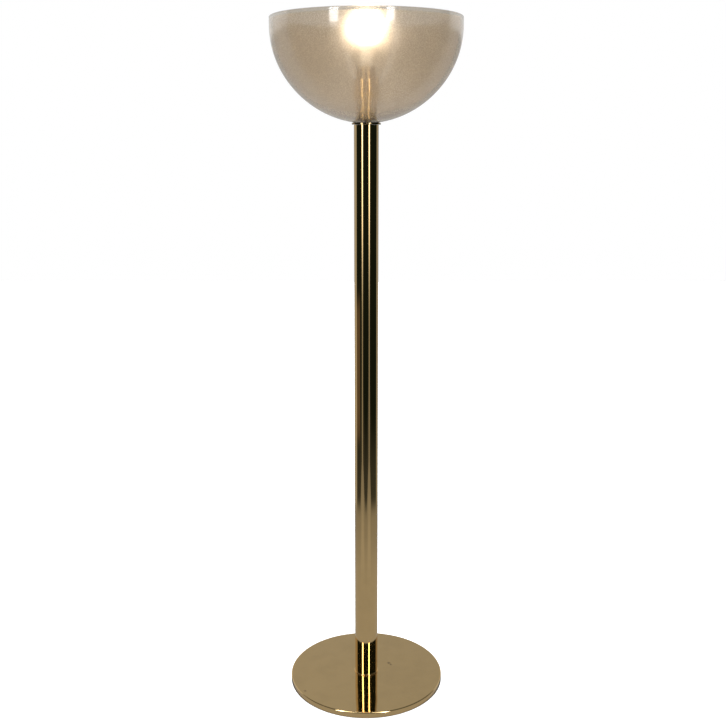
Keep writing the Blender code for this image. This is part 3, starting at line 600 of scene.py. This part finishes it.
# Socket sleeve: a drawn brass cup that hides the lower half of the lamp holder. It stands on a darkened ring,
# and a nut in its floor holds both.
SLEEVE_WALL = 0.0012
bead("darkened_flange_ring", "flange_ring", 0.0013, aged)
sleeve_low, sleeve_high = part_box("socket_sleeve")
turned(
    "drawn_socket_sleeve",
    filleted(
        [
            (sleeve_high.x, sleeve_high.z, 0.0005),
            (sleeve_high.x, sleeve_low.z, 0.0010),
            (ROD_HOLE, sleeve_low.z, 0),
            (ROD_HOLE, sleeve_low.z + SLEEVE_WALL, 0),
            (sleeve_high.x - SLEEVE_WALL, sleeve_low.z + SLEEVE_WALL, 0.0006),
            (sleeve_high.x - SLEEVE_WALL, sleeve_high.z, 0.0005),
        ]
    ),
    column_brass,
    "socket_sleeve",
)
dress(steel, "sleeve_nut")

# Lamp holder: a spun brass cap screwed to the rod, with a glazed porcelain insert standing in it. Two sprung
# brass strips run through the insert from the terminal screws to the centre contact and the shell.
HOLDER_WALL = 0.0012
CAP_ROUND = 0.0080
HUB = 0.0080


def porcelain():
    """White glaze over a pressed body, with a few dark specks from the kiln."""
    glaze = Finish("white_porcelain", (0.84, 0.83, 0.79), Roughness=0.22, Coat_Weight=0.6)
    specks = glaze.cells(0.004).ease(0.07, 0.03)
    uneven = glaze.noise(0.006, 3)
    body = glaze.blend(uneven, (0.86, 0.85, 0.81), (0.80, 0.78, 0.73))
    glaze.varies(Base_Color=glaze.blend(specks, body, (0.20, 0.17, 0.13)))
    glaze.bumped(uneven, 0.0003)
    return glaze.material


holder_low, holder_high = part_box("holder_cap")
hub_top = holder_low.z + HUB
turned(
    "spun_holder_cap",
    filleted(
        [
            (holder_high.x, holder_high.z, 0.0002),
            (holder_high.x, holder_low.z, CAP_ROUND),
            (ROD_HOLE, holder_low.z, 0),
            (ROD_HOLE, hub_top, 0.0003),
            (HUB, hub_top, 0.0003),
            (HUB, holder_low.z + HOLDER_WALL, 0.0004),
            (holder_high.x - HOLDER_WALL, holder_low.z + HOLDER_WALL, CAP_ROUND - HOLDER_WALL),
            (holder_high.x - HOLDER_WALL, holder_high.z, 0.0002),
        ]
    ),
    column_brass,
    "holder_cap",
)
dress(porcelain(), "holder_insert")
dress(contact_brass, "centre_contact", "side_contact")
dress(steel, "terminal_screw_live", "terminal_screw_neutral")

# Threaded shell: thin brass rolled with the round 27 mm thread, set in the well of the insert. A skirt of
# darkened brass slides over the insert and its turned-in lip keeps the insert down.
THREAD_PITCH = 0.003629
THREAD_DEPTH = 0.0011
THREAD_ROOT = 0.01205
THREAD_PLAY = 0.0004
LIP_BORE = 0.0186


def levels(low, high, parts_in_pitch=14):
    """Heights from low to high, close enough together to carry the thread."""
    count = round((high - low) / THREAD_PITCH * parts_in_pitch)
    return [low + (high - low) * i / count for i in range(count + 1)]


def threaded(piece, radius, low, high, female):
    """Rolls the round thread into the faces of a turned piece that lie at this radius."""
    for vertex in piece.data.vertices:
        x, y, z = vertex.co
        across = math.hypot(x, y)
        if abs(across - radius) > 0.00005 or not low < z < high:
            continue
        fade = min(1.0, (z - low) / THREAD_PITCH * 2, (high - z) / THREAD_PITCH * 2)
        wave = 0.5 + 0.5 * math.cos(math.tau * z / THREAD_PITCH - math.atan2(y, x))
        depth = THREAD_DEPTH * (1 - fade * (1 - wave) if female else fade * wave)
        vertex.co = (x * (1 + depth / across), y * (1 + depth / across), z)
    piece.modifiers.clear()
    smooth(piece, 60)


shell_low, shell_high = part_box("holder_shell")
shell_crest = THREAD_ROOT + THREAD_PLAY
shell = turned(
    "rolled_holder_shell",
    [(shell_high.x, shell_high.z), (shell_high.x, shell_low.z)]
    + [(shell_crest, level) for level in levels(shell_low.z, shell_high.z)],
    contact_brass,
    "holder_shell",
    96,
)
threaded(shell, shell_crest, shell_low.z - TOUCH, shell_high.z + TOUCH, True)
skirt_low, skirt_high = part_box("holder_skirt")
turned(
    "drawn_holder_skirt",
    filleted(
        [
            (skirt_high.x, skirt_high.z, 0.0020),
            (skirt_high.x, skirt_low.z, 0.0002),
            (skirt_high.x - HOLDER_WALL, skirt_low.z, 0.0002),
            (skirt_high.x - HOLDER_WALL, skirt_high.z - HOLDER_WALL, 0.0008),
            (LIP_BORE, skirt_high.z - HOLDER_WALL, 0.0003),
            (LIP_BORE, skirt_high.z, 0.0003),
        ]
    ),
    aged,
    "holder_skirt",
)

# Bulb: a thin glass envelope frosted inside, sealed to a glass stem that holds two wires and a tungsten coil.
# It is cemented into a rolled aluminium screw cap, which has a black glass insulator and a tip of solder.
BULB_WALL = 0.0008
MEET = math.radians(50)  # below the level of the middle, where the neck runs into the ball
NECK_END = (0.0160, 1.6000)
NECK_GLASS = 0.0108
NECK_SLOPE = 0.05  # how fast the neck still narrows at its lower end
CAP_BORE = 0.0113
CAP_THREAD = 0.0170
LIGHT = (1.0, 0.86, 0.68)
BRIGHTNESS = 19.0


def frost():
    """The lit envelope: warm white all over the ball, fading down the neck."""
    glass = Finish("frosted_bulb_glass", (0.90, 0.88, 0.84), Roughness=0.55, Emission_Strength=BRIGHTNESS)
    grain = glass.noise(0.0015, 4)
    neck = glass.along("Z").ease(bulb_middle - 0.014, bulb_middle - 0.044)
    glass.varies(Emission_Color=glass.blend(neck, LIGHT, tuple(0.02 * part for part in LIGHT)))
    glass.varies(Roughness=0.45 + 0.2 * grain)
    glass.bumped(grain, 0.00005)
    return glass.material


def clear_glass():
    """Clear drawn glass with faint drawing lines."""
    glass = Finish("clear_stem_glass", (0.92, 0.95, 0.94), Roughness=0.03, Transmission_Weight=1.0, IOR=1.5)
    lines = glass.noise(1.0, 2, place=glass.stretched(900, 900, 60))
    glass.varies(Roughness=0.02 + 0.06 * lines)
    glass.bumped(lines, 0.00008)
    return glass.material


def coiled(name, colour, turn):
    """Drawn wire, or a coil too fine to see apart, as ridges across its length, shown only by bands of
    painted shade and roughness on a smooth surface.
    """
    wire = Finish(name, colour, Metallic=1.0, Roughness=0.4)
    ridge_shade = (wire.along("X") * (math.tau / turn)).maths("SINE")
    # Painted shade: the grooves between the ridges are half as bright as their crests.
    wire.varies(Base_Color=wire.blend(ridge_shade.ease(-1, 1), tuple(0.5 * part for part in colour), colour))
    wire.varies(Roughness=0.4 + 0.1 * ridge_shade)
    return wire.material


def aluminium():
    """Rolled aluminium with the fine rings that the rolling leaves."""
    cap = Finish("rolled_aluminium", (0.75, 0.75, 0.74), Metallic=1.0, Roughness=0.28)
    rings = cap.noise(1.0, 3, place=cap.stretched(60, 60, 9000))
    dull = cap.noise(0.006, 3)
    cap.varies(Base_Color=cap.blend(dull.ease(0.4, 0.8), (0.78, 0.78, 0.77), (0.58, 0.57, 0.55)))
    cap.varies(Roughness=0.22 + 0.18 * dull)
    cap.bumped(rings, 0.00003)
    return cap.material


def vitrite():
    """Pressed black glass."""
    glass = Finish("black_insulator_glass", (0.012, 0.012, 0.014), Roughness=0.12, Coat_Weight=0.5)
    cloud = glass.noise(0.003, 3)
    glass.varies(Base_Color=glass.blend(cloud, (0.010, 0.010, 0.012), (0.030, 0.026, 0.030)))
    glass.varies(Roughness=0.08 + 0.15 * cloud)
    return glass.material


def solder():
    """A flattened drop of soft solder, dimpled where the contact has pressed."""
    tin = Finish("solder", (0.62, 0.62, 0.63), Metallic=1.0, Roughness=0.3)
    lumps = tin.noise(0.0016, 3)
    tin.varies(Base_Color=tin.blend(lumps, (0.66, 0.66, 0.67), (0.45, 0.45, 0.47)))
    tin.varies(Roughness=0.2 + 0.3 * lumps)
    tin.bumped(lumps, 0.0004)
    return tin.material


bulb_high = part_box("bulb_glass")[1]
bulb_radius = bulb_high.x
bulb_middle = bulb_high.z - bulb_radius
tip_low, tip_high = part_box("bulb_tip")
cap_low, cap_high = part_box("bulb_cap")


def envelope(inset, pieces=40):
    """The bulb's outline from the top of its ball down to the open end of its neck."""
    radius = bulb_radius - inset
    outline = []
    for i in range(pieces + 1):
        turn = math.pi / 2 - (math.pi / 2 + MEET) * i / pieces
        outline.append((radius * max(math.cos(turn), 0) if i else 0, bulb_middle + radius * math.sin(turn)))
    meet_radius, meet_height = outline[-1]
    neck_radius = NECK_END[0] - inset
    drop = meet_height - NECK_END[1]
    for i in range(1, 13):
        t = i / 12
        across = (2 * t**3 - 3 * t**2 + 1) * meet_radius + (3 * t**2 - 2 * t**3) * neck_radius
        across -= (t**3 - 2 * t**2 + t) * drop * math.tan(MEET) + (t**3 - t**2) * drop * NECK_SLOPE
        outline.append((across, meet_height - drop * t))
    waist = NECK_GLASS - inset * 1.5
    return outline + [
        (neck_radius - 0.0012, cap_high.z + 0.0040),
        (waist + 0.0020, cap_high.z + 0.0008),
        (waist, cap_high.z - 0.0040),
        (waist, cap_low.z + 0.0040),
    ]


turned("blown_bulb_envelope", envelope(0) + envelope(BULB_WALL)[::-1], frost(), "bulb_glass", 96, "bulb")
dress(clear_glass(), "bulb_stem")
dress(coiled("support_wire", (0.50, 0.48, 0.45), 0.0030), "bulb_wire_left", "bulb_wire_right")
dress(coiled("tungsten_coil", (0.22, 0.21, 0.20), 0.0004), "bulb_filament")
cap_thread_top = cap_low.z + CAP_THREAD
screw_cap = turned(
    "rolled_bulb_cap",
    filleted(
        [
            (0.0128, cap_high.z, 0),
            (cap_high.x, cap_high.z, 0.0003),
            (0.0130, cap_high.z - 0.0012, 0.0004),
            (THREAD_ROOT, cap_thread_top, 0),
        ],
        4,
    )
    + [(THREAD_ROOT, level) for level in levels(cap_low.z + 0.0006, cap_thread_top)[-2::-1]]
    + [(0.0112, cap_low.z), (0.0106, cap_low.z)]
    + [(CAP_BORE, cap_low.z + 0.0010), (CAP_BORE, cap_high.z - 0.0030)],
    aluminium(),
    "bulb_cap",
    96,
    "bulb",
)
threaded(screw_cap, THREAD_ROOT, cap_low.z, cap_thread_top + TOUCH, False)
insulator_low, insulator_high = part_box("bulb_insulator")
turned(
    "pressed_insulator",
    [(0, insulator_high.z)]
    + filleted(
        [
            (0, insulator_high.z, 0),
            (insulator_high.x, insulator_high.z, 0.0002),
            (0.0100, cap_low.z - 0.0016, 0.0010),
            (0.0056, insulator_low.z, 0.0004),
            (0, insulator_low.z, 0),
        ],
        4,
    )[1:],
    vitrite(),
    "bulb_insulator",
    96,
    "bulb",
)
turned(
    "solder_tip",
    filleted(
        [
            (0, tip_high.z, 0),
            (tip_high.x, tip_high.z, 0.0003),
            (0.0040, tip_low.z + 0.0004, 0.0004),
            (0.0020, tip_low.z, 0.0008),
            (0, tip_low.z, 0),
        ],
        4,
    ),
    solder(),
    "bulb_tip",
    64,
    "bulb_lift",
)

# Studio: a pale floor that runs back without an edge, a pale backdrop, a wide soft light overhead, and two
# tall soft lights in front, which the brass shows as two bright lines. The room in front is dark. The camera
# sees the floor and the backdrop as plain white, and the brass and the glass see the backdrop as it is and a
# dimmer floor whose light and shadow are painted on.
FLOOR_SIZE = 14.0
SOFT_LIGHTS = ((-0.65, 0.065), (0.485, 0.055))  # the middle and half width of each, in radians round the lamp
BACKDROP_LIGHT = 0.39
BAND_LIGHT = 0.5
HIGH_WALLS_LIGHT = 0.17
WHITE = (1.0, 1.0, 1.0)
FAR_PAPER_LIGHT = (0.68, 0.68, 0.68)
SHADED_PAPER = (0.10, 0.09, 0.08)
ROOM = (0.008, 0.012, 0.009)
SIDE_WALL = (0.110, 0.085, 0.062)
OVERHEAD_POWER = 60
OVERHEAD_SIZE = 3.0
OVERHEAD_PLACE = (0, 0.6, 3.6)
CAMERA_PLACE = (0, -2.424, 1.4478)
CAMERA_TILT = 78.352  # degrees up from straight down
CAMERA_LENS = 48.87
CAMERA_SENSOR = 36
CAMERA_SHIFT = (-0.00455, -0.04237)


class Surroundings(Finish):
    """The studio's walls, as the light that comes from each direction."""

    def __init__(self, world):
        self.nodes = world.node_tree.nodes
        self.links = world.node_tree.links
        self.shader = self.nodes["Background"]


def round_the_lamp(x, y):
    """The angle of a direction from straight in front of the lamp, more than 0 on the right."""
    return x.maths("ARCTAN2", x, -1 * y)


def soft_lights(x, y, spread=0.05):
    """1 in the directions of the two soft lights, fading to 0 over the spread at their edges."""
    around = round_the_lamp(x, y)
    lit = 0
    for middle, half in SOFT_LIGHTS:
        lit = lit + abs(around - middle).ease(half + spread, half)
    return lit


def backdrop_share(x, y):
    """1 in the directions of the pale backdrop behind the lamp, which comes further forward on the left."""
    return (y - 0.16 * x.ease(-0.5, 0.5)).ease(0.18, 0.28)


floor_mesh = bpy.data.meshes.new("floor")
cage = bmesh.new()
bmesh.ops.create_grid(cage, x_segments=1, y_segments=1, size=FLOOR_SIZE / 2)
cage.to_mesh(floor_mesh)
cage.free()
pale = Finish("pale_floor", (0.90, 0.90, 0.90), Roughness=0.9, Emission_Strength=0.95)
pale.varies(Emission_Color=(*WHITE, 1))
dim = Finish("pale_floor_in_the_brass", (0, 0, 0), Specular_IOR_Level=0.0, Emission_Strength=BACKDROP_LIGHT)
x, y = dim.along("X"), dim.along("Y")
away = (x * x + y * y) ** 0.5
# The lit paper ends a little over a metre from the lamp, and further out towards the soft lights. Its light
# is
# painted into its emission: white near the lamp and greyer further out. The base's edge casts a painted
# shadow on a narrow ring of it.
streaks = soft_lights(x, y, 0.35)
paper_share = 0.85 * (away - 0.55 * streaks).ease(1.38, 1.14) + 0.15 * (away - 1.2 * streaks).ease(2.6, 1.2)
closer = (away - 0.4 * streaks).ease(1.2, 0.5)
shaded = away.ease(base_radius + 0.009, base_radius + 0.002)
painted_paper_light = dim.blend(closer, FAR_PAPER_LIGHT, WHITE)
dim.varies(Emission_Color=dim.blend(shaded, painted_paper_light, SHADED_PAPER))
paper = Number(dim, dim.shader.outputs[0])
beyond = dim.node("ShaderNodeBsdfTransparent")
dim.shows(dim.node("ShaderNodeMixShader", {}, {0: paper_share, 1: beyond, 2: paper}))
for name, depth, shade, hidden in (
    ("floor", 0.0002, pale, ("visible_glossy", "visible_diffuse", "visible_transmission")),
    ("floor_in_the_brass", 0.0012, dim, ("visible_camera",)),
):
    floor = bpy.data.objects.new(name, floor_mesh.copy())
    floor.location = (0, 0, -depth)
    bpy.context.scene.collection.objects.link(floor)
    floor.data.materials.append(shade.material)
    for ray in hidden:
        setattr(floor, ray, False)

world = bpy.data.worlds.new("studio")
bpy.context.scene.world = world
world.use_nodes = True
room = Surroundings(world)
split = room.node("ShaderNodeSeparateXYZ", {}, {0: room.node("ShaderNodeTexCoord").part("Generated")})
x, y, z = (split.part(axis) for axis in "XYZ")
path = room.node("ShaderNodeLightPath")
# The backdrop is a little dimmer on the right, with a bright band above the horizon for the glass to mirror.
backdrop = backdrop_share(x, y)
bright_band = z.ease(0.0, 0.06) * z.ease(0.42, 0.30) * path.part("Is Reflection Ray")
behind = backdrop * (BACKDROP_LIGHT * (1.08 - 0.2 * x.ease(-0.3, 0.3)) + BAND_LIGHT * bright_band)
# The soft lights are brightest just above the horizon and fade down to the floor. The walls are faintly lit
# in a band above the horizon and again towards the ceiling.
level = 0.3 + 3.0 * z.ease(-0.2, 0.03) + 15.0 * z.ease(0.0, 0.06) * (1 - 0.7 * z.ease(0.15, 0.3))
high_walls = z.ease(0.12, 0.24) * z.ease(0.42, 0.35) + z.ease(0.57, 0.70)
in_front = (soft_lights(x, y) * level + HIGH_WALLS_LIGHT * high_walls) * (1 - backdrop)
# The room itself is nearly black, with a low brown wall on the left.
to_the_left = abs(round_the_lamp(x, y) + 1.55).ease(0.54, 0.42)
low_down = z.ease(-0.315, -0.295) * z.ease(-0.160, -0.185)
walls = room.blend(to_the_left * low_down, ROOM, SIDE_WALL)
light = room.node("ShaderNodeVectorMath", {"operation": "ADD"}, {0: behind + in_front, 1: walls})
# The camera sees white, and through the glass a mixture of white and the room's own light.
seen_directly = path.part("Is Camera Ray") * (0.4 + 0.6 * path.part("Transparent Depth").ease(0.6, 0.4))
room.varies(Color=room.blend(seen_directly, light, WHITE))

overhead = bpy.data.lights.new("overhead", "AREA")
overhead.shape = "DISK"
overhead.size = OVERHEAD_SIZE
overhead.energy = OVERHEAD_POWER
overhead_light = bpy.data.objects.new("overhead", overhead)
overhead_light.location = OVERHEAD_PLACE
overhead_light.visible_glossy = False
overhead_light.visible_camera = False
bpy.context.scene.collection.objects.link(overhead_light)

camera_data = bpy.data.cameras.new("camera")
camera_data.lens = CAMERA_LENS
camera_data.sensor_width = CAMERA_SENSOR
camera_data.shift_x, camera_data.shift_y = CAMERA_SHIFT
camera = bpy.data.objects.new("camera", camera_data)
camera.location = CAMERA_PLACE
camera.rotation_euler = (math.radians(CAMERA_TILT), 0, 0)
bpy.context.scene.collection.objects.link(camera)
bpy.context.scene.camera = camera
bpy.context.scene.view_settings.view_transform = "Standard"
